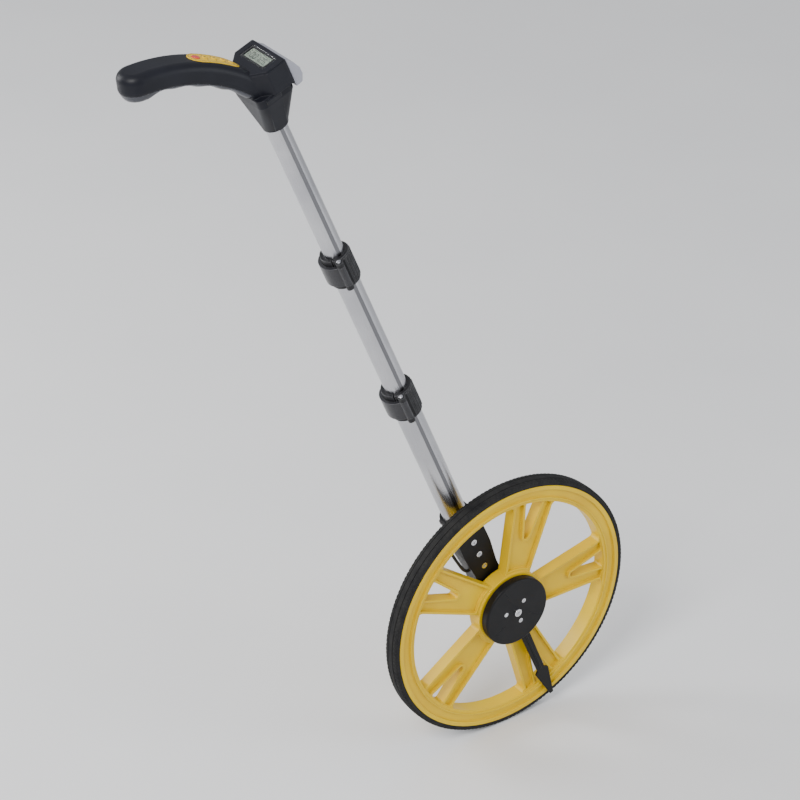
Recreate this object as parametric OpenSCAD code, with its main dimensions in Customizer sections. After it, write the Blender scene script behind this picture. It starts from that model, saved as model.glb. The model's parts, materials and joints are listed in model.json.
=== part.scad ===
// Telescopic measuring wheel: a one-metre wheel under a three-stage pole with a
// display handle. Z is up, X runs along the ground in the plane of the wheel, and
// the origin is the point under the axle where the tyre meets the ground.

/* [Wheel] */
// Rolling radius over the tyre, one metre of ground in each turn
wheel_r = 159.15; // [156:0.05:162]
// Width of the rim and of the tyre
wheel_w = 20; // [18:1:22]
// Radial thickness of the tyre
tyre_t = 6.6; // [5:0.2:8]
// Radial height of the rim band inside the tyre
rim_h = 19.5; // [17:0.5:21]
// Radius of the wheel's own hub
hub_r = 44.5; // [43:0.5:46]
// Number of forked spokes
spoke_n = 5; // [5:1:6]
// Direction of the first spoke, counter-clockwise from +X
spoke_a0 = 78.5; // [70:0.5:90]
// Half width of a spoke where it leaves the hub
spoke_root = 17; // [14:0.5:18]
// Half width of a spoke where its arms meet the rim
spoke_tip = 28.5; // [26:0.5:30]
// Width of one arm of a forked spoke
arm_w = 14.5; // [12:0.5:16]
// Radius at which a spoke forks
fork_r = 85.5; // [80:0.5:90]

/* [Pole] */
// Lean of the pole from the vertical
lean = 24; // [15:1:30]
// Distance from the plane of the wheel to the axis of the pole
pole_y = 29; // [29:0.5:32]
// Outer radius of the lower tube
lower_r = 14; // [14:0.1:14.2]
// Outer radius of the middle tube
middle_r = 12.5; // [12.4:0.1:12.5]
// Outer radius of the upper tube
upper_r = 11; // [10.8:0.1:11]
// Wall thickness of the tubes
tube_t = 1.2; // [1:0.1:1.2]
// Width of the groove along the front of each tube
groove_w = 4.4; // [3:0.2:5]

/* [Clamps] */
// Distance from the axle to the foot of the lower clamp
lower_clamp_u = 306; // [300:1:310]
// Distance from the axle to the foot of the upper clamp
upper_clamp_u = 502; // [498:1:506]
// Height of a clamp
clamp_h = 38; // [36:1:40]
// Wall of a clamp around its tube
clamp_t = 2.6; // [2.4:0.1:3]

/* [Handle] */
// Distance from the axle to the foot of the handle's collar
collar_u = 710; // [706:1:714]
// Distance from the axle to the top of the display head
head_u = 784; // [782:1:786]
// Width of the display head
head_w = 56; // [54:1:60]
// Outer radius of the grip's arch
grip_r = 180; // [178:1:184]
// Thickness of the grip
grip_t = 24; // [22:1:25]
// Width of the grip
grip_w = 34; // [32:1:36]
// Thickness of the shells
shell_t = 2.2; // [2:0.1:2.6]

/* [Hidden] */

$fn = 96;
eps = 0.02;

// Wheel
rim_out = wheel_r - tyre_t;
rim_in = rim_out - rim_h;
tongue_h = 2;
tongue_w = 8;
web_half = 7;
rib_t = 2.6;
rib_depth = 4;
window_fillet = 6;
fork_fillet = 2.8;

// Bearings of the 608 size and the axle they run on
bearing_r = 11;
bearing_w = 7;
bearing_pitch_r = 7.65;
ball_r = 1.95;
ball_n = 7;
axle_r = 4;
fit = 0.02;
magnet_n = 10;
magnet_ring_r = 32;
hub_half = 9;
washer_t = 1;
pointer_z = 12;
pointer_t = 2.5;
cover_r = 42;
cover_z = 17;
cover_t = 3;
cover_screw_r = 15;

// Bracket, whose parting plane is the plane of the pole
bracket_front_y = 17;
bracket_rear_y = 17.5;
bracket_plate_y = 7;
bracket_wall = 2.5;
bracket_top = 137;
bracket_half = 18;
screw_us = [58, 78, 98, 128];
m4_r = 2;

// Tubes
lower_foot = 90;
middle_foot = 294;
upper_foot = 482;
tube_seat = 24;
bush_h = 6;
spigot_h = 10;
running = 0.05;
coil_r = 6.5;
coil_foot = 140;
coil_mid = 410;
coil_top = 700;

// Clamps
sleeve_h = 12;
lever_h = 24;
lever_t = 3.6;
pin_r = 1.5;
knuckle_r = 3.8;
pin_angle = 250;
slit_angle = pin_angle - 25;

// Handle, drawn around the centre of its arch
arch_x = -153;
arch_u = 682;
grip_in = grip_r - grip_t;
grip_corner = 8;
grip_root_a = 30.3;
grip_end_a = 73.2;
screw_angles = [34, 58, 71];
seam_r = grip_in + 5;
head_front = 26;
neck_u = 757;
key_pitch = 10;
pad_mid_a = 46;
pad_l = 56;
pad_w = 21;
pad_r = grip_r + 0.6;
key_top = grip_r + 1.5;
key_foot = grip_r - 3.9;
battery_r = 5.25;
battery_l = 44.5;
door_w = 50;

// Frames: the wheel's face with its axis forward, the same turned to the pole,
// and the pole with its axis up
module at_wheel() { translate([0, 0, wheel_r]) rotate([90, 0, 0]) children(); }
module at_hub() { at_wheel() rotate([0, 0, lean]) children(); }
module at_pole() { translate([0, pole_y, wheel_r]) rotate([0, -lean, 0]) children(); }
// Draws in the side view of the pole: x across it, y along it, z towards the wheel
module side_view() { rotate([90, 0, 0]) children(); }
// A place on the grip's arch: z points outwards through the grip at angle a
module on_arch(a) {
    translate([arch_x, 0, arch_u]) rotate([0, 90 - a, 0]) children();
}

module ring(r_out, r_in, h) {
    difference() {
        cylinder(r = r_out, h = h);
        translate([0, 0, -1]) cylinder(r = r_in, h = h + 2);
    }
}

module rounded(w, h, r) {
    square([w - 2 * r, h], center = true);
    square([w, h - 2 * r], center = true);
    for (x = [-1, 1], y = [-1, 1])
        translate([x * (w / 2 - r), y * (h / 2 - r)]) circle(r = r);
}

module annulus(r_out, r_in) {
    difference() {
        circle(r = r_out);
        circle(r = r_in);
    }
}

// A pan-head screw with a cross slot, its head above z = 0
module screw(shank_r, shank_l, head_r, head_h) {
    translate([0, 0, -shank_l]) cylinder(r = shank_r, h = shank_l + eps);
    difference() {
        cylinder(r = head_r, h = head_h);
        for (a = [0, 90])
            rotate([0, 0, a]) translate([0, 0, head_h])
                cube([head_r * 1.2, head_r * 0.28, head_h], center = true);
    }
}

// ---- Wheel ------------------------------------------------------------------

module tyre() {
    color([0.06, 0.06, 0.065]) at_wheel() rotate_extrude() {
        translate([rim_out + tyre_t / 2, 0]) rounded(tyre_t, wheel_w, 2.4);
        translate([rim_out + tyre_t / 4, 0]) square([tyre_t / 2, wheel_w], center = true);
        translate([rim_out - tongue_h, -tongue_w / 2]) square([tongue_h + eps, tongue_w]);
    }
}

module at_spokes() {
    for (i = [0:spoke_n - 1]) rotate(spoke_a0 + i * 360 / spoke_n) children();
}

module spoke_2d() {
    polygon([[hub_r - 5, -spoke_root], [rim_in + 4, -spoke_tip],
             [rim_in + 4, spoke_tip], [hub_r - 5, spoke_root]]);
}

// The opening between the two arms of a forked spoke
module fork_2d() {
    fork_half = arm_w / 5;
    offset(r = fork_fillet, $fn = 20) offset(delta = -fork_fillet) intersection() {
        polygon([[fork_r, -fork_half], [rim_in + 9, arm_w - spoke_tip],
                 [rim_in + 9, spoke_tip - arm_w], [fork_r, fork_half]]);
        circle(r = rim_in - 0.6, $fn = 90);
    }
}

module web_2d() {
    difference() {
        intersection() {
            offset(r = -window_fillet, $fn = 24) offset(delta = window_fillet) {
                at_spokes() spoke_2d();
                circle(r = hub_r - 0.8, $fn = 24);
                annulus(rim_out - 3, rim_in + 0.6, $fn = 90);
            }
            circle(r = rim_in + 6);
        }
        at_spokes() fork_2d();
    }
}

// The hollow between the raised edges of the spokes, on each face
module pocket_2d() {
    offset(r = 2, $fn = 16) offset(delta = -rib_t - 2) intersection() {
        web_2d();
        annulus(rim_in + 1.5, hub_r + 1, $fn = 60);
    }
}

module rim_2d() {
    bead = wheel_w / 2;
    difference() {
        translate([rim_in, -bead]) square([rim_h, wheel_w]);
        translate([rim_out - tongue_h, -tongue_w / 2]) square([rim_h, tongue_w]);
        for (s = [-1, 1]) {
            translate([rim_in + rim_h / 2, s * bead]) square([9.5, 5], center = true);
            translate([rim_in, s * bead]) square([7, 2.4], center = true);
        }
    }
}

module wheel() {
    color([0.93, 0.75, 0.12]) at_wheel() difference() {
        union() {
            rotate_extrude() rim_2d();
            translate([0, 0, -web_half]) linear_extrude(2 * web_half) web_2d();
            translate([0, 0, -hub_half]) cylinder(r = hub_r, h = 2 * hub_half);
        }
        for (s = [-1, 1])
            translate([0, 0, s * web_half - rib_depth])
                linear_extrude(2 * rib_depth) pocket_2d();
        translate([0, 0, -hub_half - 1]) cylinder(r = bearing_r - 1.5, h = 2 * hub_half + 2);
        for (z = [-hub_half - 1, hub_half - bearing_w])
            translate([0, 0, z]) cylinder(r = bearing_r, h = bearing_w + 1);
        for (i = [0:magnet_n - 1])
            rotate(i * 360 / magnet_n) translate([magnet_ring_r, 0, -hub_half - 1])
                cylinder(r = 3 + fit, h = 4.2);
        // lightening ring in the hub, front and back
        for (s = [-1, 1])
            translate([0, 0, s * hub_half - 3]) linear_extrude(6) annulus(26, 15);
    }
}

module at_bearings() {
    for (s = [-1, 1]) translate([0, 0, s * (hub_half - bearing_w / 2)]) children();
}

module race_2d(r_out, r_in) {
    difference() {
        translate([r_in, -bearing_w / 2]) square([r_out - r_in, bearing_w]);
        translate([bearing_pitch_r, 0]) circle(r = ball_r + 0.05);
    }
}

module bearing_outer_rings() {
    color([0.7, 0.71, 0.73]) at_wheel() at_bearings()
        rotate_extrude() race_2d(bearing_r - fit, bearing_pitch_r + 1.5);
}

module bearing_inner_rings() {
    color([0.72, 0.73, 0.75]) at_wheel() at_bearings()
        rotate_extrude() race_2d(bearing_pitch_r - 1.5, axle_r);
}

module bearing_balls() {
    color([0.8, 0.81, 0.83]) at_wheel() at_bearings()
        for (i = [0:ball_n - 1])
            rotate(i * 360 / ball_n) translate([bearing_pitch_r, 0, 0]) sphere(r = ball_r);
}

module encoder_magnets() {
    color([0.35, 0.36, 0.38]) at_wheel()
        for (i = [0:magnet_n - 1])
            rotate(i * 360 / magnet_n)
                translate([magnet_ring_r, 0, -hub_half]) cylinder(r = 3, h = 3);
}

// ---- Axle, pointer and hub cover ---------------------------------------------

module bearing_spacer() {
    color([0.62, 0.63, 0.65]) at_wheel()
        translate([0, 0, -hub_half + bearing_w]) ring(6, axle_r, 2 * (hub_half - bearing_w));
}

module axle() {
    color([0.66, 0.67, 0.69]) at_wheel() difference() {
        translate([0, 0, -33]) cylinder(r = axle_r - fit, h = 33 + pointer_z + 2);
        translate([0, 0, 2]) cylinder(r = 2.5, h = 20);
    }
}

module axle_washers() {
    color([0.75, 0.76, 0.78]) at_wheel()
        for (z = [-hub_half - washer_t, hub_half]) translate([0, 0, z]) ring(6.5, axle_r, washer_t);
}

module axle_nut() {
    color([0.7, 0.71, 0.73]) at_wheel() translate([0, 0, -32.2]) difference() {
        cylinder(r = 7.5, h = 4, $fn = 6);
        translate([0, 0, -1]) cylinder(r = axle_r, h = 6);
    }
}

module axle_screw() {
    color([0.78, 0.79, 0.8]) at_hub() translate([0, 0, cover_z + cover_t])
        screw(2.48, 15, 4.6, 2.2);
}

module pointer_2d() {
    arm_half = 5;
    head_foot = 110;
    tip = 154.5;
    polygon([[-arm_half - 1.2, 0], [-arm_half, -head_foot], [-9, -head_foot - 4],
             [-2.2, -tip], [2.2, -tip], [9, -head_foot - 4], [arm_half, -head_foot],
             [arm_half + 1.2, 0]]);
    circle(r = 22);
}

module pointer() {
    color([0.05, 0.05, 0.055]) at_hub() difference() {
        union() {
            translate([0, 0, pointer_z]) linear_extrude(pointer_t) pointer_2d();
            translate([0, 0, hub_half + washer_t]) cylinder(r = 9, h = 3);
            // stiffening rib along the arm
            translate([-1, -108, pointer_z + pointer_t - eps]) cube([2, 62, 1]);
        }
        cylinder(r = axle_r, h = 30);
        for (a = [30, 150, 270])
            rotate(a) translate([cover_screw_r, 0, pointer_z - 1]) cylinder(r = 1.3, h = 6);
    }
}

module hub_cover() {
    color([0.06, 0.06, 0.065]) at_hub() difference() {
        union() {
            translate([0, 0, cover_z]) rotate_extrude() {
                square([cover_r - 2, cover_t]);
                square([cover_r, cover_t - 2]);
                translate([cover_r - 2, cover_t - 2]) circle(r = 2);
            }
            translate([0, 0, hub_half + 1.8])
                ring(cover_r, cover_r - bracket_wall, cover_z - hub_half - 1);
            translate([0, 0, pointer_z + pointer_t]) cylinder(r = 8, h = 3);
            for (a = [30, 150, 270])
                rotate(a) translate([cover_screw_r, 0, pointer_z + pointer_t])
                    cylinder(r = 3.5, h = 3);
        }
        cylinder(r = 2.6, h = 40);
        // way out for the pointer's arm
        translate([-6.6, -cover_r - 2, 0]) cube([13.2, 10, pointer_z + pointer_t + 1.2]);
        for (a = [30, 150, 270])
            rotate(a) translate([cover_screw_r, 0, 0]) {
                cylinder(r = 1.5, h = 40);
                translate([0, 0, cover_z + cover_t - 1.6]) cylinder(r = 2.9, h = 5);
            }
        // three radial marks, to see the pointer side from the turning wheel
        for (a = [96.5, 194, 312])
            rotate(a) translate([21, -0.35, cover_z + cover_t - 0.5]) cube([17, 0.7, 2]);
    }
}

module cover_screws() {
    color([0.6, 0.61, 0.63]) at_hub()
        for (a = [30, 150, 270])
            rotate(a) translate([cover_screw_r, 0, cover_z + cover_t - 1.6])
                screw(1.28, 6.2, 2.7, 1.4);
}

// ---- Bracket ------------------------------------------------------------------

module bracket_2d() {
    offset(r = 2.5) offset(delta = -2.5) {
        circle(r = 20);
        polygon([[-16, 0], [-15.5, 55], [-18.5, 86], [-18, 120], [-16.5, 126],
                 [-bracket_half, 131], [-bracket_half, bracket_top],
                 [bracket_half, bracket_top], [bracket_half, 131], [16.5, 126],
                 [18, 120], [18.5, 86], [15.5, 55], [16, 0]]);
    }
}

// The block on the left flank that takes the sensor cable in to the tube
module wing_2d() {
    translate([-22.5, 112.5]) rounded(14, 13, 3);
}

module tube_socket() {
    translate([0, 0, lower_foot]) cylinder(r = lower_r + fit, h = 60);
}

module bracket_holes() {
    tube_socket();
    for (u = screw_us) translate([0, 0, u]) rotate([90, 0, 0]) {
        translate([0, 0, -20]) cylinder(r = m4_r + 0.15, h = 50);
        translate([0, 0, bracket_front_y - 2.6]) cylinder(r = 4, h = 5);
    }
    // way through the flank and the wing for the sensor cable
    translate([-13, -9, 60]) rotate([0, -90, 0]) cylinder(r = 2.4, h = 9);
    translate([-24, -2, 104]) cylinder(r = 3.2, h = 10);
    translate([-25.2, -2, 112]) rotate([0, 90, 0]) cylinder(r = 2.6, h = 20);
}

module bracket_front() {
    color([0.055, 0.055, 0.06]) at_pole() difference() {
        union() {
            difference() {
                side_view() linear_extrude(bracket_front_y) bracket_2d();
                // hollow for the sensor board
                translate([-13.5, -bracket_front_y + bracket_wall, -13]) cube([27, 20, 100]);
            }
            side_view() linear_extrude(8) wing_2d();
            for (u = [58, 78]) translate([0, 0, u]) rotate([90, 0, 0])
                cylinder(r = 4.6, h = bracket_front_y - 1);
            // axle boss
            rotate([90, 0, 0]) translate([0, 0, 1]) cylinder(r = 9, h = 18);
        }
        bracket_holes();
        rotate([90, 0, 0]) translate([0, 0, -5]) cylinder(r = axle_r, h = 40);
        // window over the sensor
        translate([-4, -bracket_front_y - 1, magnet_ring_r - 4]) cube([8, 4.6, 8]);
    }
}

module bracket_rear() {
    color([0.06, 0.06, 0.065]) at_pole() difference() {
        union() {
            difference() {
                intersection() {
                    side_view() translate([0, 0, -bracket_rear_y])
                        linear_extrude(bracket_rear_y) bracket_2d();
                    union() {
                        translate([0, 0, 48]) cylinder(r = bracket_rear_y, h = 100);
                        translate([-40, 0, -30]) cube([80, bracket_plate_y, 200]);
                    }
                }
                translate([-13.5, -1, -13]) cube([27, bracket_plate_y + 1 - bracket_wall, 100]);
                translate([-9, -1, 51]) cube([18, 14.5, 36]);
            }
            side_view() translate([0, 0, -bracket_plate_y])
                linear_extrude(bracket_plate_y) wing_2d();
            for (u = screw_us) translate([0, 0, u]) rotate([-90, 0, 0])
                cylinder(r = 5.6, h = bracket_rear_y + 0.5);
        }
        bracket_holes();
        for (u = screw_us) translate([0, bracket_rear_y - 2.7, u]) rotate([-90, 0, 0])
            cylinder(r = 4.1, h = 5, $fn = 6);
    }
}

module bracket_screws() {
    color([0.75, 0.76, 0.78]) at_pole()
        for (u = screw_us) translate([0, -bracket_front_y + 2.6, u]) rotate([90, 0, 0])
            screw(m4_r, 31.6, 3.6, 2.2);
}

module bracket_nuts() {
    color([0.7, 0.71, 0.73]) at_pole()
        for (u = screw_us) translate([0, bracket_rear_y - 2.7, u]) rotate([-90, 0, 0])
            difference() {
                cylinder(r = 4.04, h = 3, $fn = 6);
                translate([0, 0, -1]) cylinder(r = m4_r, h = 5);
            }
}

module sensor_board() {
    color([0.1, 0.35, 0.16]) at_pole() {
        translate([-10, -12.6, 20]) cube([20, 1.6, 30]);
        translate([-3, -14.2, magnet_ring_r - 2]) cube([6, 1.6 + eps, 4]);
        translate([-9, -11, 42]) cube([6, 4, 5]);
    }
}

// The lead from the sensor board, out along the flank and in to the tube
cable_r = 1.8;
cable_route = [
    [-8, -9, 52], [-8.2, -9, 56], [-10, -9, 59], [-13.5, -9, 60], [-17.5, -9, 60.6],
    [-20.8, -8.4, 63], [-22.4, -7.4, 68], [-23.2, -6, 76], [-24, -4.6, 84],
    [-24.3, -3.2, 92], [-24.2, -2.3, 99], [-24, -2, 104], [-23.4, -2, 108.6],
    [-21, -2, 111.4], [-17.5, -2, 112], [-13, -2, 112], [-9, -2, 113],
    [-6.4, -2, 116], [-5.4, -2, 120], [-5.2, -2, 128], [-4.6, -1.4, 134],
    [-3.6, -0.8, 139.4]
];

function unit(v) = v / norm(v);
function route_dir(p, i) = unit(p[min(i + 1, len(p) - 1)] - p[max(i - 1, 0)]);
function route_side(p, i) = unit(cross(route_dir(p, i), [0.1, 1, 0.05]));

// A closed tube of radius r along the points p
module sweep(p, r, sides) {
    n = len(p);
    rings = [
        for (i = [0:n - 1])
            let (d = route_dir(p, i), s = route_side(p, i), t = cross(d, s))
                for (k = [0:sides - 1])
                    p[i] + r * (cos(k * 360 / sides) * s + sin(k * 360 / sides) * t)
    ];
    walls = [
        for (i = [0:n - 2], k = [0:sides - 1])
            let (a = i * sides + k, b = i * sides + (k + 1) % sides)
                [a, a + sides, b + sides, b]
    ];
    foot = [for (k = [0:sides - 1]) k];
    top = [for (k = [0:sides - 1]) n * sides - 1 - k];
    polyhedron(rings, concat(walls, [foot, top]));
}

module sensor_cable() {
    color([0.04, 0.04, 0.045]) at_pole() sweep(cable_route, cable_r, 8);
}

module cable_grommet() {
    color([0.03, 0.03, 0.035]) at_pole() translate([-24, -2, 99]) difference() {
        union() {
            cylinder(r1 = 2.6, r2 = 3.15, h = 5);
            translate([0, 0, 5]) cylinder(r = 3.15, h = 3);
        }
        translate([0, 0, -1]) cylinder(r = cable_r + 0.25, h = 12);
    }
}

// ---- Tubes ---------------------------------------------------------------------

module pole_tube(r, foot, length) {
    translate([0, 0, foot]) difference() {
        ring(r, r - tube_t, length);
        translate([-groove_w / 2, -r - 1, -1]) cube([groove_w, 1.5, length + 2]);
    }
}

module lower_tube() {
    color([0.8, 0.81, 0.83]) at_pole() difference() {
        pole_tube(lower_r, lower_foot, lower_clamp_u + tube_seat - lower_foot);
        for (u = [98, 128]) translate([0, 0, u]) rotate([90, 0, 0])
            cylinder(r = m4_r + 0.15, h = 60, center = true);
        translate([-20, -2, 112]) rotate([0, 90, 0]) cylinder(r = 2.6, h = 14);
    }
}

module middle_tube() {
    color([0.82, 0.83, 0.85]) at_pole()
        pole_tube(middle_r, middle_foot, upper_clamp_u + tube_seat - middle_foot);
}

module upper_tube() {
    color([0.84, 0.85, 0.87]) at_pole() difference() {
        pole_tube(upper_r, upper_foot, collar_u + 40 - upper_foot);
        translate([0, 0, collar_u + 20]) rotate([-90, 0, 0]) cylinder(r = 1.6, h = 20);
    }
}

// A hollow end plug that guides a tube of radius r inside the next larger one
module guide_bush(r, bore, foot) {
    translate([0, 0, foot - bush_h]) {
        ring(bore - running, 8, bush_h);
        ring(r - tube_t - fit, 8, bush_h + spigot_h);
    }
}

module middle_guide_bush() {
    color([0.12, 0.12, 0.13]) at_pole()
        guide_bush(middle_r, lower_r - tube_t, middle_foot);
}

module upper_guide_bush() {
    color([0.12, 0.12, 0.13]) at_pole()
        guide_bush(upper_r, middle_r - tube_t, upper_foot);
}

// The curly lead inside the pole, as the fat tube it fills
module coil(foot, top) {
    translate([0, 0, foot]) ring(coil_r, coil_r - 2.6, top - foot);
}

module cable_coil_lower() {
    color([0.04, 0.04, 0.045]) at_pole() coil(coil_foot, coil_mid);
}

module cable_coil_upper() {
    color([0.04, 0.04, 0.045]) at_pole() coil(coil_mid, coil_top);
}

// ---- Flip-lock clamps ------------------------------------------------------------

function body_r(tube_r) = tube_r + clamp_t;
function pin_d(tube_r) = body_r(tube_r) + 2.6;

module at_pin(tube_r) { rotate(pin_angle) translate([pin_d(tube_r), 0, 0]) children(); }

module clamp_collar(tube_r, inner_r) {
    body = body_r(tube_r);
    ear_h = (clamp_h - lever_h) / 2 - 1.4;
    lever_foot = (clamp_h - lever_h) / 2;
    difference() {
        union() {
            cylinder(r = body, h = clamp_h);
            // grip ribs around the right-hand side and the back
            for (a = [272:14:440])
                rotate(a) translate([body, 0, 2]) cylinder(r = 1, h = clamp_h - 4);
            // ears that hold the hinge pin
            for (z = [1, clamp_h - 1 - ear_h])
                translate([0, 0, z]) {
                    at_pin(tube_r) cylinder(r = 4, h = ear_h);
                    rotate(pin_angle) translate([body - 2, -3.7, 0])
                        cube([pin_d(tube_r) - body + 2, 7.4, ear_h]);
                }
        }
        translate([0, 0, -1]) cylinder(r = tube_r + fit, h = tube_seat + sleeve_h + 1);
        cylinder(r = inner_r + 0.3, h = clamp_h + 1);
        translate([0, 0, -1]) at_pin(tube_r) cylinder(r = pin_r, h = clamp_h + 2);
        // room for the lever's knuckle
        translate([0, 0, lever_foot - 0.2]) at_pin(tube_r)
            cylinder(r = knuckle_r + 0.5, h = lever_h + 0.4);
        // slit that the lever closes
        rotate(slit_angle) translate([tube_r - 4, -0.8, tube_seat - 12])
            cube([12, 1.6, clamp_h]);
    }
}

// The gripping sleeve, with the key that runs in the inner tube's groove
module clamp_sleeve(tube_r, inner_r) {
    key = groove_w - 0.4;
    translate([0, 0, tube_seat]) {
        difference() {
            ring(tube_r - fit, inner_r + running, sleeve_h);
            rotate(slit_angle) translate([inner_r - 1, -0.8, -1])
                cube([6, 1.6, sleeve_h + 2]);
        }
        translate([-key / 2, -inner_r - 0.4, 0]) cube([key, 0.75, sleeve_h]);
    }
}

module clamp_pin(tube_r) {
    at_pin(tube_r) {
        translate([0, 0, 0.6]) cylinder(r = pin_r - fit, h = clamp_h - 1.2);
        for (z = [0, clamp_h - 1]) translate([0, 0, z]) cylinder(r = 2.3, h = 1);
    }
}

module clamp_lever(tube_r) {
    r_in = body_r(tube_r) + 0.4;
    sweep_a = 128;
    translate([0, 0, (clamp_h - lever_h) / 2]) difference() {
        union() {
            at_pin(tube_r) cylinder(r = knuckle_r, h = lever_h);
            difference() {
                union() {
                    rotate(pin_angle - sweep_a) rotate_extrude(angle = sweep_a)
                        translate([r_in, 0]) square([lever_t, lever_h]);
                    // finger lip at the free end
                    rotate(pin_angle - sweep_a) translate([r_in + lever_t - 0.8, 0, 3])
                        cylinder(r = 2.6, h = lever_h - 6);
                }
                translate([0, 0, -1]) cylinder(r = r_in, h = lever_h + 2);
            }
        }
        translate([0, 0, -1]) at_pin(tube_r) cylinder(r = pin_r + 0.08, h = lever_h + 2);
    }
}

module lower_clamp_collar() {
    color([0.06, 0.06, 0.065]) at_pole() translate([0, 0, lower_clamp_u])
        clamp_collar(lower_r, middle_r);
}

module lower_clamp_sleeve() {
    color([0.16, 0.16, 0.17]) at_pole() translate([0, 0, lower_clamp_u])
        clamp_sleeve(lower_r, middle_r);
}

module lower_clamp_pin() {
    color([0.75, 0.76, 0.78]) at_pole() translate([0, 0, lower_clamp_u])
        clamp_pin(lower_r);
}

module lower_clamp_lever() {
    color([0.1, 0.1, 0.11]) at_pole() translate([0, 0, lower_clamp_u])
        clamp_lever(lower_r);
}

module upper_clamp_collar() {
    color([0.06, 0.06, 0.065]) at_pole() translate([0, 0, upper_clamp_u])
        clamp_collar(middle_r, upper_r);
}

module upper_clamp_sleeve() {
    color([0.16, 0.16, 0.17]) at_pole() translate([0, 0, upper_clamp_u])
        clamp_sleeve(middle_r, upper_r);
}

module upper_clamp_pin() {
    color([0.75, 0.76, 0.78]) at_pole() translate([0, 0, upper_clamp_u])
        clamp_pin(middle_r);
}

module upper_clamp_lever() {
    color([0.1, 0.1, 0.11]) at_pole() translate([0, 0, upper_clamp_u])
        clamp_lever(middle_r);
}

// ---- Handle ------------------------------------------------------------------------

// Cross-section of the grip between two radii of its arch, cut in by inset
module grip_2d(r_lo, r_hi, inset) {
    intersection() {
        translate([grip_r - grip_t / 2, 0])
            rounded(grip_t - 2 * inset, grip_w - 2 * inset, grip_corner - inset);
        translate([r_lo, -grip_w]) square([r_hi - r_lo, 2 * grip_w]);
    }
}

// The wall of a hollow shell, thinned by trim on every side
module grip_wall_2d(r_lo, r_hi, trim = 0) {
    difference() {
        grip_2d(r_lo + trim, r_hi - trim, trim);
        grip_2d(0, 2 * grip_r, shell_t - trim);
    }
}

// Sweeps a cross-section along the arch from angle a0 to a1
module swept(a0, a1) {
    translate([arch_x, 0, arch_u]) rotate([90, 0, 0]) rotate(a0)
        rotate_extrude(angle = a1 - a0) children();
}

// One hollow shell of the grip from angle a0, closed by the rounded far end
module grip_shell(a0, r_lo, r_hi) {
    swept(a0, grip_end_a) grip_wall_2d(r_lo, r_hi);
    on_arch(grip_end_a) rotate(90) rotate_extrude(angle = 180) intersection() {
        rotate(90) grip_wall_2d(r_lo, r_hi, 2 * eps);
        square([grip_w, 2 * grip_r]);
    }
}

// Everything inside radius r of the arch
module inside_arch(r) {
    translate([arch_x, 0, arch_u]) rotate([90, 0, 0])
        cylinder(r = r, h = 80, center = true, $fn = 180);
}

module head_plan() {
    half = head_w / 2;
    offset(r = 3) offset(delta = -3)
        polygon([[-12, -16], [-8, -17], [3, -half], [head_front, -half],
                 [head_front, half], [3, half], [-8, 17], [-12, 16]]);
}

module head_hollow_2d() {
    intersection() {
        offset(delta = -3.6) head_plan();
        translate([-7, -head_w / 2]) square([24.6, head_w]);
    }
}

module collar_body() {
    hull() {
        translate([4.7, 0, neck_u - 8]) linear_extrude(9) rounded(40.6, head_w - 6, 7, $fn = 32);
        translate([0.8, 0, collar_u + 1]) cylinder(r = 13.2, h = 1, $fn = 48);
    }
    translate([0.8, 0, collar_u]) cylinder(r = 13.2, h = 2);
}

module head_body() {
    translate([0, 0, neck_u - 0.5]) linear_extrude(head_u - neck_u - 1.5) head_plan();
    translate([0, 0, head_u - 3]) linear_extrude(3) offset(delta = -1.2) head_plan();
}

module handle_top_shell() {
    color([0.055, 0.055, 0.06]) at_pole() difference() {
        union() {
            difference() {
                union() {
                    swept(20, grip_root_a) grip_2d(0, 2 * grip_r, 0);
                    collar_body();
                    head_body();
                    for (s = [-1, 1]) collar_rib(s);
                }
                // hollow of the head, its way in to the grip and the battery bay
                translate([0, 0, neck_u - 4]) linear_extrude(head_u - neck_u + 2)
                    head_hollow_2d();
                translate([-20, -12, neck_u + 6]) cube([20, 24, 15]);
                translate([19, -door_w / 2 + 1, neck_u - 6]) cube([20, door_w - 2, 26.4]);
            }
            grip_shell(grip_root_a, seam_r, grip_r + 1);
            for (a = screw_angles) on_arch(a) translate([0, 0, seam_r])
                cylinder(r = 3.2, h = 17);
        }
        // bore for the tube and way through for the lead
        translate([0, 0, collar_u - 1]) cylinder(r = upper_r + fit, h = 41);
        translate([0, 0, collar_u + 10]) cylinder(r = 8.5, h = neck_u - collar_u);
        translate([0, 0, collar_u + 20]) rotate([-90, 0, 0]) {
            cylinder(r = 1.7, h = 40);
            translate([0, 0, 15.4]) cylinder(r = 3.2, h = 20);
        }
        for (a = screw_angles) on_arch(a) translate([0, 0, seam_r - 1])
            cylinder(r = 1.4, h = 9);
        // seat of the display window and the opening under it
        translate([12.3, 0, head_u - 1.2]) linear_extrude(3) rounded(17, 40, 1.5);
        translate([12.3, 0, head_u - 6]) linear_extrude(8) rounded(13.6, 36, 1);
        // seat of the keypad and the holes under its keys
        pad_slab(grip_r - 1, grip_r + 6, 0.1);
        for (k = [0:4]) on_arch(key_angle(k)) translate([0, 0, grip_r - 4])
            cylinder(r = key_r(k) + 0.5, h = 8);
    }
}

// Raised lengthwise panel on each flank of the collar
module collar_rib(s) {
    hull() {
        translate([-7, s * 13 - 1, collar_u + 2]) cube([14, 2, 1]);
        translate([-8, s * (head_w / 2 - 2.4) - 1, neck_u - 2]) cube([17, 2, 1]);
    }
}

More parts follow.
